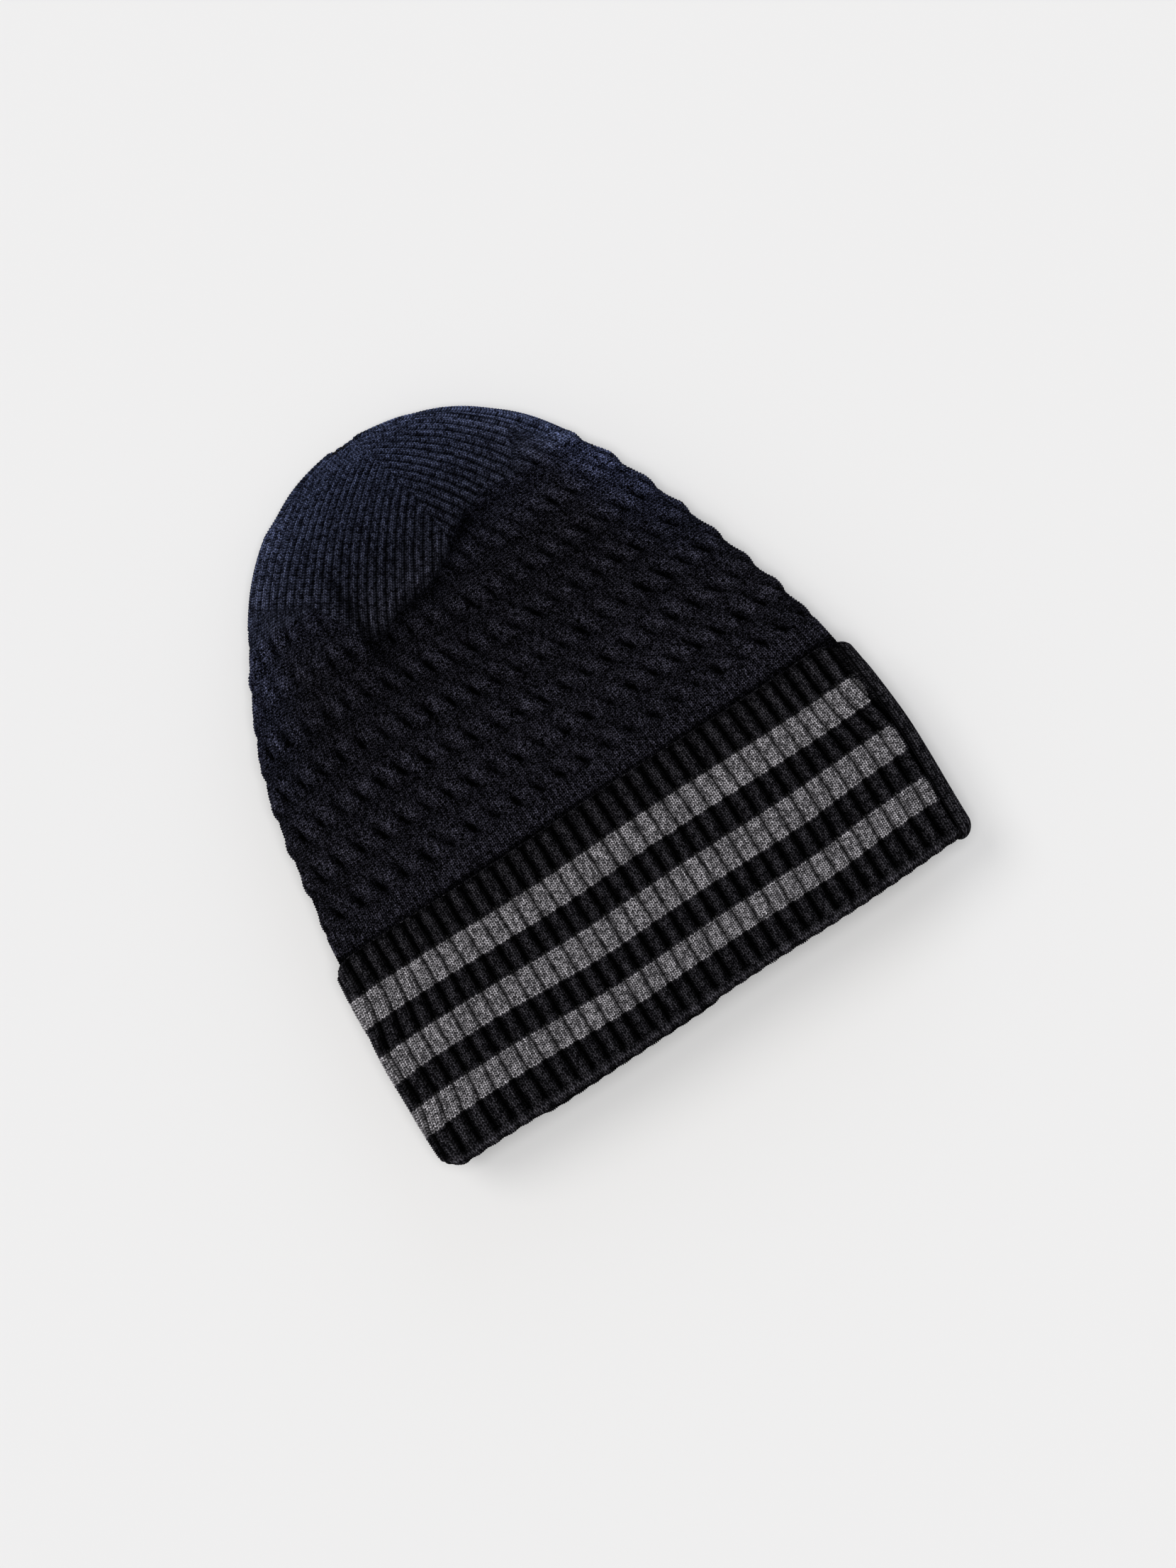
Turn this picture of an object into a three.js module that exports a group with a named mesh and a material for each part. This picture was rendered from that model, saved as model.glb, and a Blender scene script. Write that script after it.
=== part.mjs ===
// Knit beanie, lying flat on its back with its ribbed cuff turned up. Millimetres, +Z up.
//
// The hat is one knitted sheet. It runs from the gathered crown down the cable-knit body and the inner
// band to a fold, turns outwards and comes back up as the cuff, to its bound-off edge. Every knitted
// section is a patch of that sheet: two coordinates place a point on the sheet's middle surface, and a
// patch is thickened to both sides of it.
//
//   girth  0 to 1 round the hat: 0 at the right side, 0.25 at the front (top), 0.5 at the left side
//   run    millimetres along the sheet from the start of the fold: negative up the inner band and the
//          body to the crown, positive round the fold and up the cuff
import * as THREE from 'three';

// The whole hat.
const HEIGHT = 237.5; // from the fold to the crown, along Y
const CUFF_HEIGHT = 83.5; // from the fold to the cuff's bound-off edge
const THICKNESS = 3.0; // the knit's own thickness
const GAP = 0.3; // between neighbouring sections
const CLEARANCE = 0.6; // between the cuff and the band it is turned up over

// The turned-up cuff's bands, as heights above the fold.
const STRIPE_HEIGHTS = [
  ['lower', 13.6, 25.2],
  ['middle', 35.2, 47.1],
  ['upper', 57.6, 68.9],
];
const EDGE_CHAIN_HEIGHT = 1.3;
const EDGE_CHAIN_THICKNESS = 2.4;

// The body's sections, as heights above the fold.
const BAND_TOP = 78.0; // where the inner band's rib gives way to plain rib
const CABLE_BOTTOM = 93.0;
const CROWN_BOTTOM = 192.0;

// The crown's four gores meet along decrease lines at these girths.
const DECREASE_LINES = [0.045, 0.213, 0.5, 0.75];
const CROWN_HOLE_HALF_WIDTH = 7.0; // where the last loops are drawn together
const KNOT_RADII = [4.6, 1.5, 0.75]; // the knot of the drawn thread

// The side seam's allowance, turned to the sheet's inner face, which shows on the cuff.
const SEAM_GIRTH = 0.0115; // a little way round to the front
const SEAM_HALF_GIRTH = 0.0036; // half its width
const SEAM_THICKNESS = 1.4;

// The middle surface's shape, each as [height above the fold, millimetres].
const HALF_WIDTHS = [
  [0, 106.1],
  [40, 106.1],
  [62, 104.6],
  [85, 102.4],
  [110, 98.3],
  [135, 92.1],
  [160, 83.9],
  [185, 72.5],
  [205, 60.1],
  [220, 45.5],
  [230, 29.0],
  [HEIGHT - THICKNESS / 2, 0],
];
const DEPTHS = [
  [0, 25.6],
  [40, 27.0],
  [85, 30.0],
  [120, 34.4],
  [150, 34.2],
  [180, 31.0],
  [205, 25.0],
  [220, 19.5],
  [230, 13.6],
  [HEIGHT - THICKNESS / 2, 0],
];
const LEAN = [
  [0, 0],
  [85, 0.5],
  [150, -1.9],
  [200, -0.7],
  [225, -1.4],
  [HEIGHT, -3.6],
];
const NOSE_LIFT = 5.0; // how far the crown's tip curls up off the surface
const NOSE_DEPTH = 28.0; // the depth below which it starts to
const LIE_DOWN = [84, 112]; // heights between which the back comes down off the cuff's thickness
const FLAT_SHARE = 0.9; // the back is flat from this share of the half depth down
const BODY_SQUARENESS = 3.0; // the section's superellipse exponent, a plain ellipse at the tip
const TIP_SQUARENESS = 2.0;
const ROUNDING_START = 170;

const LAYER_STEP = THICKNESS + CLEARANCE; // between the middle surfaces of band and cuff
const FOLD_RADIUS = LAYER_STEP / 2;
const FOLD_HEIGHT = THICKNESS / 2 + FOLD_RADIUS;
const FOLD_LENGTH = Math.PI * FOLD_RADIUS;

// How finely the solids are faceted.
const COLUMNS = 56;
const RING_SAMPLES = 720;

const CHARCOAL = { color: 0x26262b, roughness: 0.95, metalness: 0 };
const GREY = { color: 0x8d8d91, roughness: 0.95, metalness: 0 };

function smoothStep(low, high, value) {
  const t = THREE.MathUtils.clamp((value - low) / (high - low), 0, 1);
  return t * t * (3 - 2 * t);
}

// A smooth curve through points of [position, value], with its slopes from the neighbouring points.
function curveThrough(points, position) {
  const last = points.length - 1;
  let k = 0;
  while (k < last - 1 && position > points[k + 1][0]) k += 1;
  const slope = (i) => {
    const a = points[Math.max(i - 1, 0)];
    const b = points[Math.min(i + 1, last)];
    return (b[1] - a[1]) / (b[0] - a[0]);
  };
  const [x0, y0] = points[k];
  const [x1, y1] = points[k + 1];
  const w = x1 - x0;
  const t = THREE.MathUtils.clamp((position - x0) / w, 0, 1);
  const t2 = t * t;
  const t3 = t2 * t;
  return (
    (2 * t3 - 3 * t2 + 1) * y0 +
    (t3 - 2 * t2 + t) * w * slope(k) +
    (3 * t2 - 2 * t3) * y1 +
    (t3 - t2) * w * slope(k + 1)
  );
}

const squared = (points) => points.map(([position, value]) => [position, value * value]);
const HALF_WIDTHS_SQUARED = squared(HALF_WIDTHS);
const DEPTHS_SQUARED = squared(DEPTHS);

// A width or depth that closes to a round tip: its square runs straight to zero there.
function rounded(pointsSquared, height) {
  return Math.sqrt(Math.max(curveThrough(pointsSquared, height), 1e-4));
}

// The hat's section at one height, as a closed outline of evenly spaced points with their normals.
function makeRing(height) {
  const halfWidth = rounded(HALF_WIDTHS_SQUARED, height);
  const depth = rounded(DEPTHS_SQUARED, height);
  const onCuff = 1 - smoothStep(LIE_DOWN[0], LIE_DOWN[1], height);
  const curl = 1 - Math.min(1, depth / NOSE_DEPTH);
  const floor = THICKNESS / 2 + LAYER_STEP * onCuff + NOSE_LIFT * curl * curl;
  const halfDepth = depth / (1 + FLAT_SHARE);
  const centre = floor + FLAT_SHARE * halfDepth;
  const round = smoothStep(ROUNDING_START, HEIGHT, height);
  const power = 2 / THREE.MathUtils.lerp(BODY_SQUARENESS, TIP_SQUARENESS, round);
  const shift = curveThrough(LEAN, height);
  const outline = [];
  for (let i = 0; i < RING_SAMPLES; i += 1) {
    const angle = (2 * Math.PI * i) / RING_SAMPLES;
    const c = Math.cos(angle);
    const s = Math.sin(angle);
    const x = shift + halfWidth * Math.sign(c) * Math.abs(c) ** power;
    const z = centre + halfDepth * Math.sign(s) * Math.abs(s) ** power;
    outline.push([x, Math.max(z, floor)]);
  }
  return outline;
}

// The same outline as a closed chain with the distance walked at each point.
function measure(outline) {
  const walked = [0];
  for (let i = 1; i <= outline.length; i += 1) {
    const a = outline[i - 1];
    const b = outline[i % outline.length];
    walked.push(walked[i - 1] + Math.hypot(b[0] - a[0], b[1] - a[1]));
  }
  return walked;
}

const rings = new Map();

function ringAt(height) {
  const key = height.toFixed(4);
  if (!rings.has(key)) {
    const outline = makeRing(height);
    rings.set(key, { outline, walked: measure(outline) });
  }
  return rings.get(key);
}

function girthLength(height) {
  const { walked } = ringAt(height);
  return walked[walked.length - 1];
}

// The point of a ring at one girth.
function onRing(height, girth) {
  const { outline, walked } = ringAt(height);
  const wanted = (girth - Math.floor(girth)) * walked[walked.length - 1];
  let low = 0;
  let high = outline.length;
  while (high - low > 1) {
    const middle = (low + high) >> 1;
    if (walked[middle] <= wanted) low = middle;
    else high = middle;
  }
  const a = outline[low];
  const b = outline[(low + 1) % outline.length];
  const t = (wanted - walked[low]) / (walked[low + 1] - walked[low]);
  return [a[0] + (b[0] - a[0]) * t, a[1] + (b[1] - a[1]) * t];
}

// Height above the fold and distance outside the inner layer, for a run along the sheet.
function station(run) {
  if (run <= 0) return { height: FOLD_HEIGHT - run, out: 0 };
  if (run >= FOLD_LENGTH) return { height: FOLD_HEIGHT + run - FOLD_LENGTH, out: LAYER_STEP };
  const turn = run / FOLD_RADIUS;
  return {
    height: FOLD_HEIGHT - FOLD_RADIUS * Math.sin(turn),
    out: FOLD_RADIUS * (1 - Math.cos(turn)),
  };
}

const bodyRun = (height) => FOLD_HEIGHT - height;
const cuffRun = (height) => FOLD_LENGTH + height - FOLD_HEIGHT;

// A point of the sheet's middle surface.
function onSheet(run, girth) {
  const { height, out } = station(run);
  const step = 0.004;
  const [x, z] = onRing(height, girth);
  const [xa, za] = onRing(height, girth - step);
  const [xb, zb] = onRing(height, girth + step);
  const length = Math.hypot(xb - xa, zb - za);
  const outX = ((zb - za) / length) * out;
  const outZ = (-(xb - xa) / length) * out;
  return new THREE.Vector3(x + outX, height - HEIGHT / 2, z + outZ);
}

// The sheet's normal. It points out of the hat on the body, and towards the band on the cuff.
function sheetNormal(run, girth) {
  const along = onSheet(run + 0.05, girth).sub(onSheet(run - 0.05, girth));
  const round = onSheet(run, girth + 0.002).sub(onSheet(run, girth - 0.002));
  return round.cross(along).normalize();
}

// A patch of the sheet as a closed solid. girthLines gives the girths of its columns at each run.
function makePatch({ runs, girthLines, closed = false, thickness = THICKNESS, offset = 0 }) {
  const columns = girthLines(runs[0]).length;
  const positions = [];
  for (const run of runs) {
    for (const girth of girthLines(run)) {
      const point = onSheet(run, girth);
      const normal = sheetNormal(run, girth);
      for (const side of [thickness / 2, -thickness / 2]) {
        positions.push(...point.clone().addScaledVector(normal, offset + side).toArray());
      }
    }
  }
  const front = (i, j) => 2 * (j * columns + (i % columns));
  const back = (i, j) => front(i, j) + 1;
  const index = [];
  const quad = (a, b, c, d) => index.push(a, b, c, a, c, d);
  const lastColumn = closed ? columns : columns - 1;
  const lastRow = runs.length - 1;
  for (let i = 0; i < lastColumn; i += 1) {
    for (let j = 0; j < lastRow; j += 1) {
      quad(front(i, j), front(i + 1, j), front(i + 1, j + 1), front(i, j + 1));
      quad(back(i, j), back(i, j + 1), back(i + 1, j + 1), back(i + 1, j));
    }
    quad(front(i, 0), back(i, 0), back(i + 1, 0), front(i + 1, 0));
    quad(front(i + 1, lastRow), back(i + 1, lastRow), back(i, lastRow), front(i, lastRow));
  }
  for (let j = 0; !closed && j < lastRow; j += 1) {
    quad(front(0, j + 1), back(0, j + 1), back(0, j), front(0, j));
    quad(front(lastColumn, j), back(lastColumn, j), back(lastColumn, j + 1), front(lastColumn, j + 1));
  }
  const geometry = new THREE.BufferGeometry();
  geometry.setAttribute('position', new THREE.Float32BufferAttribute(positions, 3));
  geometry.setIndex(index);
  geometry.computeVertexNormals();
  return geometry;
}

// Evenly spaced values from low to high.
function spread(low, high, steps) {
  return Array.from({ length: steps + 1 }, (_, i) => low + ((high - low) * i) / steps);
}

// The rows of the sections, which the side seam follows.
const CABLE_RUNS = spread(bodyRun(CROWN_BOTTOM - GAP), bodyRun(CABLE_BOTTOM), 8);
const PLAIN_RUNS = spread(bodyRun(CABLE_BOTTOM - GAP), bodyRun(BAND_TOP), 1);
const INNER_RUNS = spread(bodyRun(BAND_TOP - GAP), 0, 3);
const FOLD_RUNS = spread(GAP, FOLD_LENGTH, 6);

// The columns of a section that goes all the way round, two of them under the side seam.
function allRound() {
  const rest = spread(SEAM_GIRTH + SEAM_HALF_GIRTH, 1 + SEAM_GIRTH - SEAM_HALF_GIRTH, COLUMNS - 2);
  return [SEAM_GIRTH, ...rest];
}

function addMesh(group, name, geometry, finish) {
  const mesh = new THREE.Mesh(geometry, new THREE.MeshStandardMaterial(finish));
  mesh.name = name;
  group.add(mesh);
  return mesh;
}

// A section knitted all the way round, from one run to the next.
function addBand(group, name, runs, finish, thickness = THICKNESS) {
  const geometry = makePatch({ runs, girthLines: allRound, closed: true, thickness });
  addMesh(group, name, geometry, finish);
}

// The height at which the crown has narrowed to its hole, near the tip, where the width's square is
// a straight line.
function holeHeight() {
  const [[height, halfWidth], [tip]] = HALF_WIDTHS.slice(-2);
  const slope = halfWidth ** 2 / (tip - height);
  return tip - CROWN_HOLE_HALF_WIDTH ** 2 / slope;
}

// The crown: four gores that narrow to the gathered tip, with a gap's width along each decrease line.
function addCrown(group) {
  const names = ['front_right', 'front_left', 'back_left', 'back_right'];
  const top = holeHeight();
  const rows = 9;
  // Rows crowd towards the tip, where the gores curve most.
  const runs = spread(0, 1, rows).map((t) => {
    const height = CROWN_BOTTOM + (top - CROWN_BOTTOM) * Math.sin((t * Math.PI) / 2);
    return bodyRun(height);
  });
  runs.reverse();
  names.forEach((name, k) => {
    const start = DECREASE_LINES[k];
    const end = k + 1 < names.length ? DECREASE_LINES[k + 1] : 1 + DECREASE_LINES[0];
    const columns = Math.round((end - start) * COLUMNS);
    const girthLines = (run) => {
      const margin = GAP / 2 / girthLength(station(run).height);
      return spread(start + margin, end - margin, columns);
    };
    addMesh(group, `crown_gore_${name}`, makePatch({ runs, girthLines }), CHARCOAL);
  });
}

// The knot of the thread that draws the crown's last loops together.
function addClosingThread(group) {
  const geometry = new THREE.SphereGeometry(1, 16, 10);
  geometry.scale(...KNOT_RADII);
  const knot = addMesh(group, 'crown_closing_thread', geometry, CHARCOAL);
  const run = bodyRun(holeHeight());
  const hole = onSheet(run, 0.25).add(onSheet(run, 0.75)).multiplyScalar(0.5);
  knot.position.copy(hole);
}

// The cuff: the fold's band, then grey stripes and charcoal bands in turn, up to the bound-off edge.
function addCuff(group) {
  const chainBottom = CUFF_HEIGHT - EDGE_CHAIN_HEIGHT;
  const groundNames = ['lower', 'upper', 'top'];
  addBand(group, 'cuff_fold_band', [...FOLD_RUNS, cuffRun(STRIPE_HEIGHTS[0][1] - GAP)], CHARCOAL);
  STRIPE_HEIGHTS.forEach(([name, bottom, top], k) => {
    addBand(group, `cuff_stripe_${name}`, [cuffRun(bottom), cuffRun(top)], GREY);
    const next = k + 1 < STRIPE_HEIGHTS.length ? STRIPE_HEIGHTS[k + 1][1] : chainBottom;
    addBand(group, `cuff_band_${groundNames[k]}`, [cuffRun(top + GAP), cuffRun(next - GAP)], CHARCOAL);
  });
  addBand(
    group,
    'cuff_edge_chain',
    [cuffRun(chainBottom), cuffRun(CUFF_HEIGHT)],
    CHARCOAL,
    EDGE_CHAIN_THICKNESS,
  );
}

// The body: cable knit, a few courses of plain rib, and the band under the cuff.
function addBody(group) {
  addBand(group, 'cable_body', CABLE_RUNS, CHARCOAL);
  addBand(group, 'plain_band', PLAIN_RUNS, CHARCOAL);
  addBand(group, 'inner_band', INNER_RUNS, CHARCOAL);
}

// The allowance of the one side seam, on the inner face all the way from the crown round the fold.
function addSideSeam(group) {
  const girthLines = () => spread(SEAM_GIRTH - SEAM_HALF_GIRTH, SEAM_GIRTH + SEAM_HALF_GIRTH, 2);
  const cuffHeights = STRIPE_HEIGHTS.flatMap(([, bottom, top]) => [bottom, top]);
  const cuffRuns = [...cuffHeights, CUFF_HEIGHT].map(cuffRun);
  const runs = [...CABLE_RUNS.slice(1), ...PLAIN_RUNS.slice(1), ...INNER_RUNS.slice(1)];
  runs.push(...FOLD_RUNS.slice(1), ...cuffRuns);
  const offset = -(THICKNESS / 2 + GAP + SEAM_THICKNESS / 2);
  const geometry = makePatch({ runs, girthLines, thickness: SEAM_THICKNESS, offset });
  addMesh(group, 'side_seam', geometry, CHARCOAL);
}

// Puts the middle of the hat's underside at the origin.
function centre(group) {
  const box = new THREE.Box3().setFromObject(group);
  const middle = box.getCenter(new THREE.Vector3());
  group.position.set(-middle.x, -middle.y, -box.min.z);
}

const beanie = new THREE.Group();
addCrown(beanie);
addClosingThread(beanie);
addBody(beanie);
addCuff(beanie);
addSideSeam(beanie);
centre(beanie);

export default beanie;
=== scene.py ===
"""Looks of the knit beanie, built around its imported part.

The hat lies on its back, with +Z up towards its front and +Y towards its crown. Every knitted section
is a closed shell with its stitches, ribs and cables in the mesh. The shells are patches of the same
sheet as the part's solids: girth runs 0 to 1 round the hat (0 at the right side, 0.25 at the front)
and run is millimetres along the sheet from the fold, negative up the body, positive up the cuff.
Lengths are in millimetres until a mesh is made.
"""
import math

import bpy
import numpy as np
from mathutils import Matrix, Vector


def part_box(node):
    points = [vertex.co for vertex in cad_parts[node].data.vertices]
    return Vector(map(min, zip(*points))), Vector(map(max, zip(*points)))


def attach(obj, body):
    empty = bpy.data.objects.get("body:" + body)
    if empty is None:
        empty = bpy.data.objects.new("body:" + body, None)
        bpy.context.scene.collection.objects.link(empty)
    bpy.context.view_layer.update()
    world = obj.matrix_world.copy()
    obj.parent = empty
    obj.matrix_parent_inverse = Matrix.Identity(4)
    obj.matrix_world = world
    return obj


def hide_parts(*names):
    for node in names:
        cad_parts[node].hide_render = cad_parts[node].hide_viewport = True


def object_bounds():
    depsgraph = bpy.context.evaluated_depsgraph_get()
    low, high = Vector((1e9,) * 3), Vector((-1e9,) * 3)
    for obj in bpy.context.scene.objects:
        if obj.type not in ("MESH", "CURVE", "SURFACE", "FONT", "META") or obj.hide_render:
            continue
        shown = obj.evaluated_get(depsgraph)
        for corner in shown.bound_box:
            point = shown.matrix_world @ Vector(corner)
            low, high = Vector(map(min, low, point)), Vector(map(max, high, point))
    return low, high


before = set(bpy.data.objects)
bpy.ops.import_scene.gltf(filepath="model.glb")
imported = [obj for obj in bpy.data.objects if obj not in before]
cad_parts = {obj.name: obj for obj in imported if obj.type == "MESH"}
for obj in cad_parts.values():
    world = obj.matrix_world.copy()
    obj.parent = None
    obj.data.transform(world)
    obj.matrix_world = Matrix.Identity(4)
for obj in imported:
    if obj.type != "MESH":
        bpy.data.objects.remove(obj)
cad_low, cad_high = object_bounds()

# ---------------------------------------------------------------- sizes, as the part has them

HEIGHT = 237.5
CUFF_HEIGHT = 83.5
THICKNESS = 3.0
CLEARANCE = 0.6
STRIPES = {"lower": (13.6, 25.2), "middle": (35.2, 47.1), "upper": (57.6, 68.9)}
EDGE_CHAIN_HEIGHT = 1.3
BAND_TOP = 78.0
CABLE_BOTTOM = 93.0
CROWN_BOTTOM = 192.0
DECREASE_LINES = (0.045, 0.213, 0.5, 0.75)
CROWN_HOLE_HALF_WIDTH = 7.0
SEAM_GIRTH = 0.0115
SEAM_HALF_GIRTH = 0.0036
SEAM_THICKNESS = 1.4

HALF_WIDTHS = (
    (0, 106.1), (40, 106.1), (62, 104.6), (85, 102.4), (110, 98.3), (135, 92.1),
    (160, 83.9), (185, 72.5), (205, 60.1), (220, 45.5), (230, 29.0), (HEIGHT - THICKNESS / 2, 0),
)
DEPTHS = (
    (0, 25.6), (40, 27.0), (85, 30.0), (120, 34.4), (150, 34.2), (180, 31.0),
    (205, 25.0), (220, 19.5), (230, 13.6), (HEIGHT - THICKNESS / 2, 0),
)
LEAN = ((0, 0), (85, 0.5), (150, -1.9), (200, -0.7), (225, -1.4), (HEIGHT, -3.6))
NOSE_LIFT = 5.0
NOSE_DEPTH = 28.0
LIE_DOWN = (84, 112)
FLAT_SHARE = 0.9
BODY_SQUARENESS = 3.0
TIP_SQUARENESS = 2.0
ROUNDING_START = 170

LAYER_STEP = THICKNESS + CLEARANCE
FOLD_RADIUS = LAYER_STEP / 2
FOLD_HEIGHT = THICKNESS / 2 + FOLD_RADIUS
FOLD_LENGTH = math.pi * FOLD_RADIUS
FOLD_MIDDLE = FOLD_HEIGHT - FOLD_LENGTH / 2    # the fold's edge, when height goes on down the sheet

# ---------------------------------------------------------------- the knit's own measures

CUFF_RIBS = 70
RIB_WALES = 4                      # three raised wales and the sunk one between ribs
CUFF_COURSE = 1.05
CABLES = 46
CABLE_WALES = 6
BODY_COURSE = 0.98
CROWN_RIB_PITCH = 3.9
CROWN_RIB_WALES = 2
CROWN_COURSE = 1.0

RING_SAMPLES = 2880
COARSER = 4                        # how many times coarser a shell's hidden side is than its visible one
CUFF_GIRTH = 449.0                 # all the way round the cuff
NORMAL_STEP = 0.004                # in girth
KNOT_TURNS = 2.5                   # how often its two plies go round each other
PRESSED_IN = 1.0                   # how far the stitches are pressed in where the hat lies on them
RIB_PULL = 1.2                     # how much wider ribbed knit is once it is pulled flat
LEAST_SHEET = 10.0                 # a section narrower than this is no sheet but a row of loops
CUFF_STEP = 0.26                   # steps of the meshes, up the hat
CABLE_STEP = 0.3
BAND_STEP = 0.28
INNER_STEP = 0.6
SEAM_STEP = 0.35
CROWN_ROWS = 192
CROWN_COLUMNS = 1000               # all the way round
SEAM_SUNK = 0.6                    # how deep the seam's roll reaches into the sheet
SEAM_SHORT = 4                     # how far below the crown it ends
SKIN = 0.3                         # nothing comes nearer to the floor than it fades away over


# ---------------------------------------------------------------- small maths

def frac(value):
    return value - np.floor(value)


def smoothstep(low, high, value):
    t = np.clip((value - low) / (high - low), 0, 1)
    return t * t * (3 - 2 * t)


def bell(value, width):
    """1 at 0, falling off to both sides over about the width."""
    return np.exp(-((value / width) ** 2))


def wave(turns):
    """From 1 at whole turns to 0 between them."""
    return 0.5 + 0.5 * np.cos(2 * np.pi * turns)


def wrapped(value):
    """A phase brought to between -0.5 and 0.5."""
    return value - np.round(value)


def curve_through(points, position):
    """A smooth curve through (position, value) points, as the part draws it."""
    at, value = np.array(points, float).T
    last = len(at) - 1
    before = np.maximum(np.arange(last + 1) - 1, 0)
    after = np.minimum(np.arange(last + 1) + 1, last)
    slope = (value[after] - value[before]) / (at[after] - at[before])
    k = np.clip(np.searchsorted(at, position) - 1, 0, last - 1)
    width = at[k + 1] - at[k]
    t = np.clip((position - at[k]) / width, 0, 1)
    t2, t3 = t * t, t * t * t
    return (
        (2 * t3 - 3 * t2 + 1) * value[k]
        + (t3 - 2 * t2 + t) * width * slope[k]
        + (3 * t2 - 2 * t3) * value[k + 1]
        + (t3 - t2) * width * slope[k + 1]
    )


def rounded(points, height):
    """A width or depth that closes to a round tip."""
    squares = [(at, value * value) for at, value in points]
    return np.sqrt(np.maximum(curve_through(squares, height), 1e-4))


# ---------------------------------------------------------------- the sheet

def rings(heights):
    """The hat's section at each height: x and z round the outline, and the distance walked."""
    height = np.asarray(heights, float)[:, None]
    half_width = rounded(HALF_WIDTHS, height)
    depth = rounded(DEPTHS, height)
    on_cuff = 1 - smoothstep(*LIE_DOWN, height)
    curl = 1 - np.minimum(1, depth / NOSE_DEPTH)
    floor = THICKNESS / 2 + LAYER_STEP * on_cuff + NOSE_LIFT * curl * curl
    half_depth = depth / (1 + FLAT_SHARE)
    centre = floor + FLAT_SHARE * half_depth
    tip = smoothstep(ROUNDING_START, HEIGHT, height)
    power = 2 / (BODY_SQUARENESS + (TIP_SQUARENESS - BODY_SQUARENESS) * tip)
    angle = np.linspace(0, 2 * np.pi, RING_SAMPLES + 1)[None, :]
    c, s = np.cos(angle), np.sin(angle)
    x = curve_through(LEAN, height) + half_width * np.sign(c) * np.abs(c) ** power
    z = np.maximum(centre + half_depth * np.sign(s) * np.abs(s) ** power, floor)
    steps = np.hypot(np.diff(x, axis=1), np.diff(z, axis=1))
    walked = np.concatenate([np.zeros((len(height), 1)), np.cumsum(steps, axis=1)], axis=1)
    return x, z, walked


def on_ring(ring, girths):
    x, z, walked = ring
    found_x, found_z = np.empty_like(girths), np.empty_like(girths)
    for k, row in enumerate(girths):
        wanted = frac(row) * walked[k, -1]
        found_x[k] = np.interp(wanted, walked[k], x[k])
        found_z[k] = np.interp(wanted, walked[k], z[k])
    return found_x, found_z


def station(runs):
    """Height above the fold and distance outside the inner layer, for runs along the sheet."""
    turn = np.clip(runs, 0, FOLD_LENGTH) / FOLD_RADIUS
    straight = np.maximum(runs - FOLD_LENGTH, 0) - np.minimum(runs, 0)
    return (
        FOLD_HEIGHT + straight - FOLD_RADIUS * np.sin(turn),
        FOLD_RADIUS * (1 - np.cos(turn)),
    )


def round_lengths(runs):
    """How far it is all the way round the hat, for runs along the sheet."""
    return rings(station(np.asarray(runs))[0])[2][:, -1]


def body_run(height):
    return FOLD_HEIGHT - height


def cuff_run(height):
    return FOLD_LENGTH + height - FOLD_HEIGHT


def on_sheet(runs, girths):
    """Points of the sheet's middle surface, as an array of rows, columns and x, y, z."""
    height, out = station(runs)
    ring = rings(height)
    x, z = on_ring(ring, girths)
    xa, za = on_ring(ring, girths - NORMAL_STEP)
    xb, zb = on_ring(ring, girths + NORMAL_STEP)
    length = np.hypot(xb - xa, zb - za)
    x = x + (zb - za) / length * out[:, None]
    z = z - (xb - xa) / length * out[:, None]
    y = np.broadcast_to(height[:, None], x.shape)
    return np.stack([x, y, z], axis=2)


def sheet_normals(runs, girths):
    """Out of the hat on the body, towards the band on the cuff."""
    along = on_sheet(runs + 0.05, girths) - on_sheet(runs - 0.05, girths)
    round_ = on_sheet(runs, girths + 0.002) - on_sheet(runs, girths - 0.002)
    normal = np.cross(round_, along)
    return normal / np.linalg.norm(normal, axis=2, keepdims=True)


# ---------------------------------------------------------------- how the soft hat lies

POCKET = (      # the crown's pocket: where its lower edge hangs, as (x, height)
    (-41, 192), (-29, 172), (-15, 175), (-3, 176.5), (8, 181.5), (19, 189), (31, 192.5), (42, 192),
)
RIBS_END_HIGHER = {"left": 11.0, "right": 8.0, "edge": 9.0}    # at the front's sides, than at its middle
LIFT = (        # how far the cuff's rows lie above their own height, as (height, left, middle, right)
    (0, 0, 0, 0), (14, 2.7, 0.9, 2.5), (26, 1.5, -1.0, 0.5), (37, 2.0, -0.5, 1.0),
    (48, 1.0, -0.5, 0), (60, 1.2, 0.2, -0.2), (71, 0.8, 0, -0.3), (84, 0, 0, 0),
)
POCKET_RISE = 30.0                 # how far above and below its edge the knit is drawn with it
POCKET_TUCK = 19.0
SIDEWAYS = 1.1                     # how far the hat's upper part lies to the right of the cuff's foot
FOLD_CORNERS = {"left": (8.0, 110.3), "right": (5.0, 110.3)}    # the cuff's lower: radius and reach
EDGE_CORNERS = {"left": (6.5, 105.4), "right": (9.5, 106.8)}    # and its upper ones
PEEK = 2.9                         # how far the back of the fold shows below the front


def frontness(girths):
    """1 on the front, 0 on the back."""
    return smoothstep(-0.15, 0.25, np.sin(2 * np.pi * girths))


def pocket_edge(x):
    return curve_through(POCKET, np.clip(x, POCKET[0][0], POCKET[-1][0]))


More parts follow.
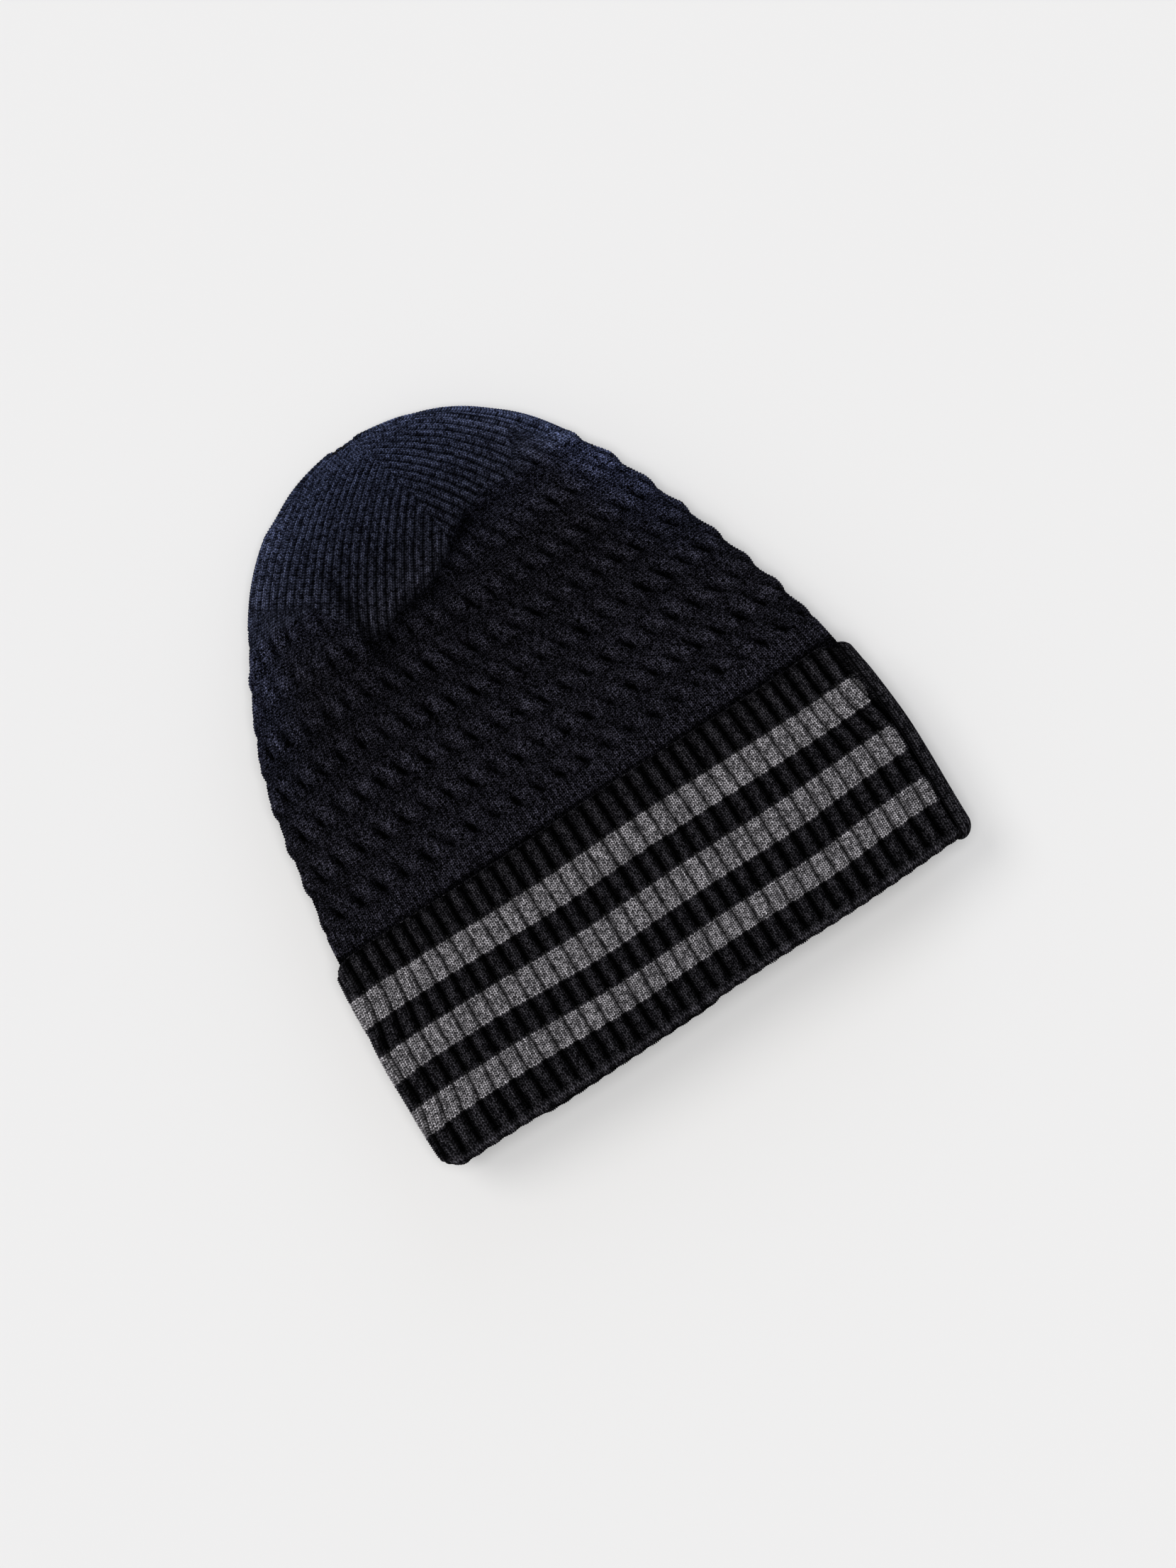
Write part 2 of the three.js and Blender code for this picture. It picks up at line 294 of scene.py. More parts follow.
def settle(points, girths, on_body):
    """Shifts the points sideways in place, and returns their new heights: the round corners, the
    fold's wave, the bow of the cuff's rows and the pocket."""
    shared = 1 - 0.9 * (1 - on_body) * smoothstep(20, 100, points[..., 0])
    points[..., 0] += SIDEWAYS * shared * smoothstep(0, 60, points[..., 1])
    x, height = points[..., 0], points[..., 1]
    front = frontness(girths)
    moved = height.copy()
    for radii, edge, sign in ((FOLD_CORNERS, 0.0, 1), (EDGE_CORNERS, CUFF_HEIGHT, -1)):
        if edge > 0 and on_body:
            continue
        for side, (radius, reach) in radii.items():
            t = np.clip(((x if side == "right" else -x) - reach) / radius + 1, 0, 1)
            lift = radius * (1 - np.sqrt(1 - t * t))
            fade = np.clip(1 - np.abs(height - edge) / (2.4 * radius), 0, 1) ** 2
            moved += sign * lift * fade
    low = np.exp(-np.maximum(height, 0) / 12)
    seen = smoothstep(-84, -66, x) * (1 - smoothstep(-4, 14, x))
    moved -= PEEK * seen * (1 - front) * low
    moved += 0.35 * np.sin(x / 17.0 + 0.6) * front * (1 - smoothstep(75, 84, height) * on_body)
    left, right = smoothstep(-15, -70, x), smoothstep(55, 88, x)
    for k, share in enumerate((left, 1 - left - right, right), 1):
        rows = [(row[0], row[k]) for row in LIFT]
        lift = curve_through(rows, np.clip(height, 0, LIFT[-1][0]))
        moved += lift * share * front * (1 - on_body)
    drop = (CROWN_BOTTOM - pocket_edge(x)) * front * on_body
    above = bell(height - CROWN_BOTTOM, POCKET_RISE)
    below = bell(height - CROWN_BOTTOM, POCKET_TUCK)
    moved -= drop * np.where(height > CROWN_BOTTOM, above, below)
    return moved


def pocket_place(x, height):
    """How far over the pocket's edge, how far within its width, and where its upright crease is."""
    within = smoothstep(-33, -27, x) * (1 - smoothstep(18, 34, x))
    upright = smoothstep(150, 164, height) * (1 - smoothstep(192, 205, height))
    return height - pocket_edge(x), within, upright, x + 30 + 0.03 * (height - 172)


def bulges(x, height, girths, lengths):
    """How far the body's front stands out or sinks, for its folds, creases and slack."""
    front = frontness(girths)
    over, within, upright, from_crease = pocket_place(x, height)
    lip = 2.9 * smoothstep(-1.4, 3.4, over) * np.exp(-np.maximum(over - 3.4, 0) / 13)
    hollow = 1.9 * (1 - smoothstep(-1.4, 3.4, over)) * np.exp(-np.maximum(-over, 0) / 6.5)
    out = within * (lip - hollow) + 1.6 * bell(over + 8.5, 3.2) * bell(x + 7, 12)
    out = out - 1.5 * upright * bell(from_crease, 3.0) + 0.8 * upright * bell(from_crease - 7, 4.5)
    slack = 0.9 * np.sin(x / 21 + height / 33) * np.sin(height / 26 - x / 47 + 1.2)
    slack += 0.5 * np.sin(x / 9.5 - height / 19 + 2.0) * np.sin(height / 14 + 0.5)
    out = out + slack * smoothstep(90, 110, height) * (1 - smoothstep(205, 228, height))
    centre_line = (girths - DECREASE_LINES[1]) * lengths
    crown = smoothstep(186, 200, height)
    out = out - 0.9 * crown * bell(centre_line, 1.6) * (1 - smoothstep(222, 232, height))
    ridge = wrapped(girths - DECREASE_LINES[0]) * lengths
    side = smoothstep(176, 188, height) * (1 - smoothstep(226, 233, height))
    ridge_shape = 1.3 * bell(ridge, 1.5) - 1.0 * bell(ridge + 3.4, 1.6)
    return out * front + side * ridge_shape


# ---------------------------------------------------------------- stitches

def knit_stitches(wales, courses):
    """V-shaped stitches: their height from 0 to 1, and a phase that counts along each leg."""
    across = np.abs(frac(wales) - 0.5) * 2
    phase = courses - 0.75 * across
    leg = np.sqrt(np.clip(4 * across * (1 - across), 0, 1))
    return leg * (0.3 + 0.7 * wave(phase) ** 0.8), phase


def purl_stitches(wales, courses):
    """Bars that lie across the fabric, each a little arched."""
    across = np.cos(2 * np.pi * wales)
    phase = courses + 0.25 * across
    return wave(phase) * (0.68 + 0.32 * across), phase


def stripe_edges(bottom, top):
    """A stripe's lower and upper edge, counted in courses, each between two courses of stitches."""
    return tuple(math.floor(edge / CUFF_COURSE - 0.375) + 0.5 for edge in (bottom, top))


def cuff_pattern(x, height, girths, on_cuff):
    """Relief in millimetres, painted shading from 0 to 1 (painted shade between stitches and in the rib
    valleys), stitch coordinates, and courses inside a stripe.
    """
    lean = smoothstep(-60, -105, x) * (smoothstep(48, 66, height) - smoothstep(26, 8, height))
    lean = lean - smoothstep(70, 105, x) * smoothstep(48, 66, height)
    wobble = 0.10 * np.sin(girths * 2 * np.pi * 9 + 1) + 0.06 * np.sin(height / 11 + x / 23)
    wales = (girths * CUFF_RIBS + 0.42 * lean * on_cuff) * RIB_WALES + wobble
    from_valley = np.abs(wrapped(wales / RIB_WALES)) * RIB_WALES
    stitch, phase = knit_stitches(wales + 0.5, height / CUFF_COURSE)
    grey, stripe = np.zeros_like(height), np.full_like(height, -9.0)
    for bottom, top in STRIPES.values():
        grey += smoothstep(bottom - 0.8, bottom + 0.8, height) - smoothstep(top - 0.8, top + 0.8, height)
        low, high = stripe_edges(bottom, top)
        stripe = np.maximum(stripe, (high - low) / 2 - np.abs(phase - (high + low) / 2))
        dot = np.minimum(0.45 - np.abs(phase - high - 0.5), (0.42 - from_valley) * 2)
        stripe = np.maximum(stripe, dot)
    grey = grey * on_cuff
    at_fold = bell(height - FOLD_MIDDLE, 3.4)
    width = 1.02 - 0.58 * grey
    depth = (2.2 - 1.0 * grey) * (1 - 0.88 * at_fold)
    raised = 1 - bell(from_valley, width)
    rib = raised * (0.86 + 0.14 * np.cos((from_valley - 2) * np.pi / 4))
    relief = depth * (rib - 0.86) + 0.9 * (stitch - 0.6) * (0.3 + 0.7 * raised)
    # Painted shade: darker between the stitches' legs, and nearly black in the sunk wale between the ribs.
    painted_shading = (0.25 + 0.75 * stitch) * (1 - (0.97 - 0.22 * grey) * (1 - raised) ** 0.8)
    # Painted shade round the fold's edge, and a painted highlight along the front's lower edge where light
    # grazes it.
    painted_highlight_at_fold = bell(height - FOLD_MIDDLE - 1.9, 0.9) * frontness(girths)
    painted_shading = painted_shading * (1 - 0.55 * at_fold) + 0.8 * painted_highlight_at_fold * (0.4 + 0.6 * stitch)
    return relief, painted_shading, (2 * wales, phase), stripe


LEFT_ROWS = (99, 15.1)             # the first row of cables and the distance from row to row
BACK_ROWS = (98, 14)
RIGHT_ROWS = (96.4, 12.2, 0.5)     # as well as how much each distance is longer than the last
LOWEST = -140                      # below the first row


def cable_rows(x, height, girths):
    """Which cable crossing a height is at. The rows lie closer together on the right."""
    left = (height - LEFT_ROWS[0]) / LEFT_ROWS[1]
    first, gap, growth = RIGHT_ROWS
    right = (np.sqrt(gap ** 2 + np.maximum(height - first, LOWEST)) - gap) / growth
    across = smoothstep(-60, 20, x)
    front = left + (right - left) * across
    back = (height - BACK_ROWS[0]) / BACK_ROWS[1]
    return back + (front - back) * frontness(girths)


def cell_noise(a, b, seed):
    """A steady random number from 0 to 1 for each whole pair."""
    mixed = np.sin(a * 12.9898 + b * 78.233 + seed * 37.719) * 43758.5453
    return frac(mixed)


def cable_pattern(x, height, girths):
    """Domes in columns, parted by short slanting slits, on a ground of bars."""
    rows = cable_rows(x, height, girths)
    row = np.round(rows)
    from_row = rows - row
    columns = girths * CABLES + 0.3 + 0.05 * np.sin(height / 9.0 + x / 13)
    slant = columns - 0.72 * from_row
    across = wrapped(slant)
    cell = np.round(slant) % CABLES
    soft = smoothstep(140, 185, height) * frontness(girths)
    strength = (0.5 + 0.6 * cell_noise(cell, row, 1)) * (1 - 0.5 * soft)
    near = bell(from_row, 0.30) * (0.7 + 0.45 * cell_noise(cell, row, 2))
    dome = (0.5 - 0.5 * np.cos(2 * np.pi * across)) ** 0.8
    slit = bell(across, 0.095) * bell(from_row + 0.03, 0.17) * strength
    painted_shade_round_slit = bell(across, 0.22) * bell(from_row + 0.03, 0.28) * strength
    pit = bell(across - 0.02, 0.09) * bell(from_row + 0.15, 0.09) * strength
    under = bell(from_row + 0.36, 0.10)
    relief = 1.4 * dome * near + 0.35 * dome * (1 - near) - 1.6 * slit - 0.6 * pit - 0.4 * under
    wales = girths * CABLES * CABLE_WALES + 0.5 * np.sin(height / 5) * near
    courses = height / BODY_COURSE + 0.5 * dome * near + 0.25 * np.sin(wales * 0.7)
    stitch, phase = purl_stitches(wales, courses)
    relief = relief - 0.75 + 0.6 * (stitch - 0.5)
    # Painted shade: dark in the slits and pits, in a halo round them and below each row, darker between
    # the bars, and painted light on the tops of the domes.
    painted_shading = (0.45 + 0.55 * stitch) * (1 - 0.85 * np.minimum(slit + pit, 1))
    painted_shading = painted_shading * (0.60 + 0.54 * dome * near) * (1 - 0.42 * np.minimum(painted_shade_round_slit, 1)) * (1 - 0.2 * under)
    return relief, painted_shading, (2 * wales, phase)


def plain_pattern(height, girths):
    """A few courses of fine rib between the cables and the cuff."""
    wales = girths * CABLES * CABLE_WALES
    stitch, phase = knit_stitches(wales, height / CUFF_COURSE)
    rib = wave(wales / 2 + 0.25)
    relief = 0.35 * (rib - 0.5) + 0.7 * (stitch - 0.5)
    # Painted shade between the stitches and in the rib's hollows.
    painted_shading = (0.2 + 0.8 * stitch) * (0.7 + 0.3 * rib)
    return relief, painted_shading, (2 * wales, phase)


def crown_pattern(x, height, girths, lengths):
    """Ribs that run beside one edge of each gore and end at the other, like a herringbone."""
    g = frac(girths - DECREASE_LINES[0]) + DECREASE_LINES[0]
    right, front, left, back = DECREASE_LINES
    from_edge = np.where(g < front, g - right, np.abs(g - left))
    from_edge = np.where(g > back, 1 + right - g, from_edge)
    side = np.where((g < front) | (g > back), -1.0, 1.0)
    ribs = from_edge * lengths / CROWN_RIB_PITCH + 0.25
    turn = 0.55 * side
    courses = (height * 0.84 + turn * x) / CROWN_COURSE
    rib = wave(ribs)
    wales = ribs * CROWN_RIB_WALES
    stitch, phase = purl_stitches(wales + 0.5, courses)
    relief = 1.05 * (rib ** 0.7 - 0.6) + 0.5 * (stitch - 0.5)
    # Painted shade between the stitches and between the ribs.
    painted_shading = (0.5 + 0.5 * stitch) * (0.33 + 0.67 * rib ** 0.7)
    return relief, painted_shading, (2 * wales, phase)


def blend_patterns(first, second, share):
    """One pattern giving way to another: share is how much of the second there is."""
    relief = first[0] + (second[0] - first[0]) * share
    painted_shading = first[1] + (second[1] - first[1]) * share
    nearer = share > 0.5
    return relief, painted_shading, tuple(np.where(nearer, b, a) for a, b in zip(first[2], second[2]))


def body_pattern(x, height, made_at, girths, lengths):
    """made_at is the height where the knit would lie with no pocket: its own place in the hat."""
    cables = cable_pattern(x, height, girths)
    plain = plain_pattern(height, girths)
    crown = crown_pattern(x, height, girths, lengths)
    lower = blend_patterns(plain, cables, smoothstep(CABLE_BOTTOM - 1, CABLE_BOTTOM + 3, made_at))
    higher = RIBS_END_HIGHER["left"] * smoothstep(-38, -62, x)
    higher = higher + RIBS_END_HIGHER["right"] * smoothstep(38, 58, x)
    higher = higher + RIBS_END_HIGHER["edge"] * smoothstep(0.11, 0.05, girths)
    end = CROWN_BOTTOM + higher * frontness(girths)
    return blend_patterns(lower, crown, smoothstep(-1.5, 1.5, made_at - end))


# ---------------------------------------------------------------- shells

def all_round(columns):
    return np.arange(columns) / columns


def spread(low, high, target):
    """Evenly spaced values, in a number of steps that suits the hidden side too."""
    steps = COARSER * max(1, round(abs(high - low) / target / COARSER))
    return np.linspace(low, high, steps + 1)


def surface(runs, girths, is_cuff):
    """The middle surface as it lies, its normals, and the heights it was made at."""
    points = on_sheet(runs, girths)
    normals = sheet_normals(runs, girths)
    made_at = points[..., 1].copy()
    points[..., 1] = settle(points, girths, 0.0 if is_cuff else 1.0)
    if not is_cuff:
        lengths = round_lengths(runs)[:, None]
        out = bulges(points[..., 0], points[..., 1], girths, lengths)
        points = points + normals * out[..., None]
    return points, normals, made_at


def seam_distance(girths):
    """Distance round the hat from the side seam, near it."""
    return np.abs(wrapped(girths - SEAM_GIRTH)) * CUFF_GIRTH


def cuff_heights(runs, like):
    """Height up the cuff, which goes on below zero down the band inside it."""
    return np.broadcast_to((runs - FOLD_LENGTH + FOLD_HEIGHT)[:, None], like.shape)


def cuff_relief(points, made_at, runs, girths):
    """The cuff's rib, with its rounded upper edge and the gutter beside the seam, both with painted shade.
    """
    x = points[..., 0]
    height = cuff_heights(runs, x)
    relief, painted_shading, stitch, stripe = cuff_pattern(x, height, girths, 1.0)
    top = smoothstep(CUFF_HEIGHT - 2.2, CUFF_HEIGHT + 0.3, height)
    chain = bell(height - (CUFF_HEIGHT - EDGE_CHAIN_HEIGHT), 0.3)
    relief = relief - 1.9 * top ** 2 - 0.25 * chain
    # Painted shade along the rounded upper edge and its chain.
    painted_shading = painted_shading * (1 - 0.35 * chain) * (1 - 0.4 * top)
    distance = seam_distance(girths)
    relief = relief - 0.8 * bell(distance, 2.6)
    # Painted shade in the gutter beside the seam.
    painted_shading = painted_shading * (1 - 0.7 * bell(distance, 2.8))
    for bottom, high in STRIPES.values():
        rise = np.minimum(np.abs(height - (bottom + high) / 2) / ((high - bottom) / 2), 1)
        end = 2.7 + 2.2 * (1 - np.sqrt(1 - rise ** 3))
        stripe = np.minimum(stripe, np.where(rise < 1, distance - end, stripe))
    return relief, painted_shading, stitch, stripe


def inner_relief(points, made_at, runs, girths):
    """The cuff's rib on the band inside it, without stripes."""
    x = points[..., 0]
    return cuff_pattern(x, cuff_heights(runs, x), girths, 0.0)


def shell_faces(rows, columns, closed, flip):
    """Corners and sizes of the faces of a closed shell: a fine visible grid, a coarser hidden grid, and
    walls of one polygon for each coarse step."""
    fine = np.arange(rows * columns).reshape(rows, columns)
    coarse_rows = (rows - 1) // COARSER + 1
    coarse_columns = columns // COARSER if closed else (columns - 1) // COARSER + 1
    coarse = np.arange(coarse_rows * coarse_columns).reshape(coarse_rows, coarse_columns)
    coarse = rows * columns + coarse
    if closed:
        fine = np.concatenate([fine, fine[:, :1]], axis=1)
        coarse = np.concatenate([coarse, coarse[:, :1]], axis=1)
    quads = []
    for grid, turned in ((fine, flip), (coarse, not flip)):
        a, b = grid[:-1, :-1], grid[:-1, 1:]
        c, d = grid[1:, 1:], grid[1:, :-1]
        corners = (a, d, c, b) if turned else (a, b, c, d)
        quads.append(np.stack([part.ravel() for part in corners], axis=1))
    quads = np.concatenate(quads)
    rims = [(fine[0], coarse[0], False), (fine[-1], coarse[-1], True)]
    if not closed:
        rims += [(fine[:, 0], coarse[:, 0], True), (fine[:, -1], coarse[:, -1], False)]
    walls = []
    for rim, hidden, last in rims:
        for k in range(len(hidden) - 1):
            first = COARSER * k
            face = [hidden[k], hidden[k + 1], *rim[first:first + COARSER + 1][::-1]]
            walls.append(face if last != flip else face[::-1])
    walls = np.array(walls)
    corners = np.concatenate([quads.ravel(), walls.ravel()])
    sizes = np.concatenate([np.full(len(quads), 4), np.full(len(walls), walls.shape[1])])
    return corners, sizes, len(quads)


band_low, band_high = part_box("cuff_fold_band")
PLACE = np.array([
    (band_low.x + band_high.x) * 500,
    band_low.y * 1000,
    band_low.z * 1000,
])


def make_mesh(name, points, corners, sizes, smooth_count, attributes):
    """A mesh object in metres, in the part's own frame."""
    mesh = bpy.data.meshes.new(name)
    placed = ((points + PLACE) / 1000).astype(np.float32)
    mesh.vertices.add(len(placed))
    mesh.vertices.foreach_set("co", placed.ravel())
    mesh.loops.add(len(corners))
    mesh.loops.foreach_set("vertex_index", corners.astype(np.int32))
    mesh.polygons.add(len(sizes))
    starts = np.concatenate([[0], np.cumsum(sizes)[:-1]])
    mesh.polygons.foreach_set("loop_start", starts.astype(np.int32))
    mesh.update(calc_edges=True)
    mesh.validate()
    sharp = mesh.attributes.new("sharp_face", "BOOLEAN", "FACE")
    sharp.data.foreach_set("value", np.arange(len(sizes)) >= smooth_count)
    for key, values in attributes.items():
        if values.ndim == 2:
            layer = mesh.attributes.new(key, "FLOAT_VECTOR", "POINT")
            layer.data.foreach_set("vector", values.astype(np.float32).ravel())
        else:
            layer = mesh.attributes.new(key, "FLOAT", "POINT")
            layer.data.foreach_set("value", values.astype(np.float32))
    piece = bpy.data.objects.new(name, mesh)
    bpy.context.scene.collection.objects.link(piece)
    return piece


def make_shell(name, runs, girths, closed, is_cuff, pattern):
    """A knitted section as a closed shell. girths is one row, or one row for each run."""
    girths = np.broadcast_to(girths, (len(runs), np.shape(girths)[-1])).astype(float)
    points, normals, made_at = surface(runs, girths, is_cuff)
    relief, painted_shading, stitch, extra = pattern(points, made_at, runs, girths)
    side = -1.0 if is_cuff else 1.0
    pressed = smoothstep(0.55, 0.95, -side * normals[..., 2])
    out = side * (THICKNESS / 2 + relief - PRESSED_IN * pressed)
    visible = points + normals * out[..., None]
    depth = visible[..., 2]
    visible[..., 2] = np.where(depth < SKIN, SKIN * np.exp(np.minimum(depth / SKIN - 1, 0)), depth)
    hidden = (points - normals * (side * THICKNESS / 2))[::COARSER, ::COARSER]
    rows, columns = girths.shape
    corners, sizes, smooth_count = shell_faces(rows, columns, closed, side < 0)
    all_points = np.concatenate([visible.reshape(-1, 3), hidden.reshape(-1, 3)])
    hidden_count = hidden.shape[0] * hidden.shape[1]

    def both(values, rest):
        return np.concatenate([values.ravel(), rest * np.ones(hidden_count)])

    coarse_stitch = [part[::COARSER, ::COARSER].ravel() for part in stitch]
    # The shading attribute is painted light and shade that darkens or lightens the yarn's colour; on the
    # body the last attribute is the sides' painted rim light.
    attributes = {
        "stitch": np.stack([
            np.concatenate([part.ravel(), coarse])
            for part, coarse in zip(stitch, coarse_stitch)
        ] + [np.zeros(len(all_points))], axis=1),
        "painted_shading": both(painted_shading, 0.5),
        "stripe" if is_cuff else "painted_side_rim_light": both(extra, -1.0 if is_cuff else 0.0),
    }
    return make_mesh(name, all_points, corners, sizes, smooth_count, attributes)


# ---------------------------------------------------------------- materials

class Wiring:
    """Adds and joins the nodes of one material."""

    def __init__(self, name):
        self.material = bpy.data.materials.new(name)
        self.material.use_nodes = True
        self.tree = self.material.node_tree
        self.shader = self.tree.nodes["Principled BSDF"]

    def add(self, kind, settings=None, **inputs):
        node = self.tree.nodes.new(kind)
        for key, value in (settings or {}).items():
            setattr(node, key, value)
        for key, value in inputs.items():
            numbered = key[0] == "i" and key[1:].isdigit()
            socket = node.inputs[int(key[1:])] if numbered else node.inputs[key]
            if isinstance(value, bpy.types.NodeSocket):
                self.tree.links.new(value, socket)
            else:
                socket.default_value = value
        return node

    def math(self, operation, a, b=0.0, clamp=False):
        settings = {"operation": operation, "use_clamp": clamp}
        return self.add("ShaderNodeMath", settings, i0=a, i1=b).outputs[0]

    def mix(self, share, a, b):
        settings = {"data_type": "RGBA"}
        return self.add("ShaderNodeMix", settings, i0=share, i6=a, i7=b).outputs[2]

    def attribute(self, name):
        return self.add("ShaderNodeAttribute", {"attribute_name": name})

    def ramp(self, value, stops):
        node = self.add("ShaderNodeValToRGB", None, Fac=value)
        elements = node.color_ramp.elements
        while len(elements) < len(stops):
            elements.new(0.5)
        for element, (position, colour) in zip(elements, stops):
            element.position = position
            element.color = (*colour, 1)
        return node.outputs[0]


def heather(wiring, noise, dark, light):
    """Marled yarn: most legs near dark, some near light, each leg its own shade."""
    return wiring.ramp(noise, [(0.15, dark), (0.95, light)])


def knit_material(name, dark, light, speckled, fuzz, grey=None, cool=None):
    """Yarn in stitches. speckled, up to 1, is how much its fibres catch the light one by one; fuzz is
    those specks' scale and twist; grey is the stripes' (dark, light); cool is a painted cool reflection
    that tints the crown's end and the painted rim light of the sides blue. The colour is darkened by
    the painted shading attribute and by painted shade between the stitches' plies."""
    wiring = Wiring(name)
    stitch = wiring.attribute("stitch").outputs["Vector"]
    painted_shading = wiring.attribute("painted_shading").outputs["Fac"]
    cells = wiring.add("ShaderNodeVectorMath", {"operation": "FLOOR"}, i0=stitch).outputs[0]
    leg = wiring.add("ShaderNodeTexWhiteNoise", {"noise_dimensions": "3D"}, Vector=cells).outputs["Value"]
    place = wiring.add("ShaderNodeTexCoord").outputs["Object"]
    fibres = wiring.add(
        "ShaderNodeTexNoise", None,
        Vector=place, Scale=fuzz[0], Detail=2.0, Roughness=0.6, Distortion=fuzz[1],
    ).outputs["Fac"]
    colour = heather(wiring, leg, dark, light)
    if grey:
        inside = wiring.attribute("stripe").outputs["Fac"]
        share = wiring.add(
            "ShaderNodeMapRange", None, i0=inside, i1=-0.06, i2=0.06, i3=0.0, i4=1.0
        ).outputs[0]
        colour = wiring.mix(share, colour, heather(wiring, leg, *grey))
    # Painted cool reflection: the crown's end and the sides' painted rim light tinted blue.
    if cool:
        along = wiring.add("ShaderNodeSeparateXYZ", None, Vector=place).outputs["Y"]
        share = wiring.add(
            "ShaderNodeMapRange", {"interpolation_type": "SMOOTHSTEP"},
            i0=along, i1=0.045, i2=0.12, i3=0.0, i4=1.0,
        ).outputs[0]
        share = wiring.math("MAXIMUM", share, wiring.attribute("painted_side_rim_light").outputs["Fac"])
        painted_cool_colour = wiring.add(
            "ShaderNodeMix", {"data_type": "RGBA", "blend_type": "MULTIPLY"}, i0=1.0, i6=colour, i7=cool
        ).outputs[2]
        colour = wiring.mix(share, colour, painted_cool_colour)
    # Painted shade: the colour darkened by the shading attribute.
    depth = wiring.math("POWER", wiring.math("MULTIPLY", painted_shading, 1.3), 1.35)
    level_line = wiring.math("ABSOLUTE", wiring.math("SUBTRACT", fibres, 0.5))
    speckle = wiring.add(
        "ShaderNodeMapRange", None, i0=level_line, i1=0.0, i2=0.09, i3=1 + speckled * 1.75, i4=1 - speckled
    ).outputs[0]
    parts = wiring.add("ShaderNodeSeparateXYZ", None, Vector=stitch)
    rounds = [
        wiring.math("ABSOLUTE", wiring.math(op, wiring.math("MULTIPLY", parts.outputs[k], math.pi)))
        for k, op in ((0, "SINE"), (1, "COSINE"))
    ]
    ply = wiring.math("MULTIPLY", rounds[0], rounds[1])
    # Painted shade between the stitches' plies and legs.
    gap = wiring.add("ShaderNodeMapRange", None, i0=ply, i1=0.05, i2=0.7, i3=0.22, i4=1.15).outputs[0]
    level = wiring.math("MULTIPLY", wiring.math("MULTIPLY", depth, speckle), gap)
    scaled = wiring.add("ShaderNodeVectorMath", {"operation": "SCALE"}, i0=colour, Scale=level).outputs[0]
    wiring.tree.links.new(scaled, wiring.shader.inputs["Base Color"])
    bump = wiring.math("ADD", ply, wiring.math("MULTIPLY", fibres, 0.55))
    bumped = wiring.add("ShaderNodeBump", None, Strength=0.8, Distance=0.0003, Height=bump)
    wiring.tree.links.new(bumped.outputs[0], wiring.shader.inputs["Normal"])
    wiring.shader.inputs["Roughness"].default_value = 0.92
    wiring.shader.inputs["Specular IOR Level"].default_value = 0.01
    return wiring.material


CHARCOAL_DARK = (0.0108, 0.0104, 0.0142)
CHARCOAL_LIGHT = (0.0470, 0.0455, 0.0632)
# The crown's light legs are painted lighter than the body's, for the light that falls on the crown end.
CROWN_PAINTED_LIGHTER = (0.0610, 0.0610, 0.0820)
CUFF_DARK = (0.0100, 0.0095, 0.0118)
CUFF_LIGHT = (0.0640, 0.0612, 0.0715)
GREY_DARK = (0.112, 0.108, 0.116)
GREY_LIGHT = (0.490, 0.472, 0.500)
# Painted cool reflection: how blue the crown's end and the sides' painted rim light are tinted.
PAINTED_COOL_LIGHT = (1.2, 1.47, 2.05, 1.0)

GREYS = (GREY_DARK, GREY_LIGHT)
LOOSE = (1000.0, 0.8)              # fuzz of the body's fibres and of the cuff's: scale and twist
CLOSE = (1700.0, 0.3)

BODY_YARN = knit_material("charcoal_cable_knit", CHARCOAL_DARK, CHARCOAL_LIGHT, 0.95, LOOSE, cool=PAINTED_COOL_LIGHT)
CROWN_YARN = knit_material("charcoal_crown_rib", CHARCOAL_DARK, CROWN_PAINTED_LIGHTER, 0.44, LOOSE, cool=PAINTED_COOL_LIGHT)
CUFF_YARN = knit_material("charcoal_cuff_rib", CUFF_DARK, CUFF_LIGHT, 0.55, CLOSE, grey=GREYS)
STRIPE_YARN = knit_material("grey_stripe_rib", CUFF_DARK, CUFF_LIGHT, 0.55, CLOSE, grey=GREYS)
SEAM_YARN = knit_material("seam_yarn", CUFF_DARK, CUFF_LIGHT, 0.6, CLOSE)


# ---------------------------------------------------------------- the hat's pieces

def finish_piece(piece, node, material):
    """Gives the piece its yarn, hangs it on the root body and hides the solid it stands for."""
    piece.data.materials.append(material)
    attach(piece, "root")
    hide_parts(node)


def declare_sheet(runs, girth_share, pull=1.0):
    """Works out a knitted section's flat size: as long as its run, and as wide as the hat is round there
    with its ribs pulled flat. The size is neither kept nor returned."""
    round_ = round_lengths(runs) * girth_share * pull
    length = abs(runs[-1] - runs[0])
    steps = np.abs(np.diff(runs))
    area = ((round_[1:] + round_[:-1]) / 2 * steps).sum()
    flat = (round_.max() / 1000, length / 1000)
    area = min(area / 1e6, flat[0] * flat[1])


def cuff_band(node, low_run, high_run, material):
    """One of the cuff's rows, between two runs."""
    runs = spread(low_run, high_run, CUFF_STEP)
    girths = all_round(CUFF_RIBS * RIB_WALES * 6)
    piece = make_shell(f"{node}_knit", runs, girths, True, True, cuff_relief)
    if high_run - low_run > LEAST_SHEET:
        declare_sheet(runs, 1.0, RIB_PULL)
    finish_piece(piece, node, material)


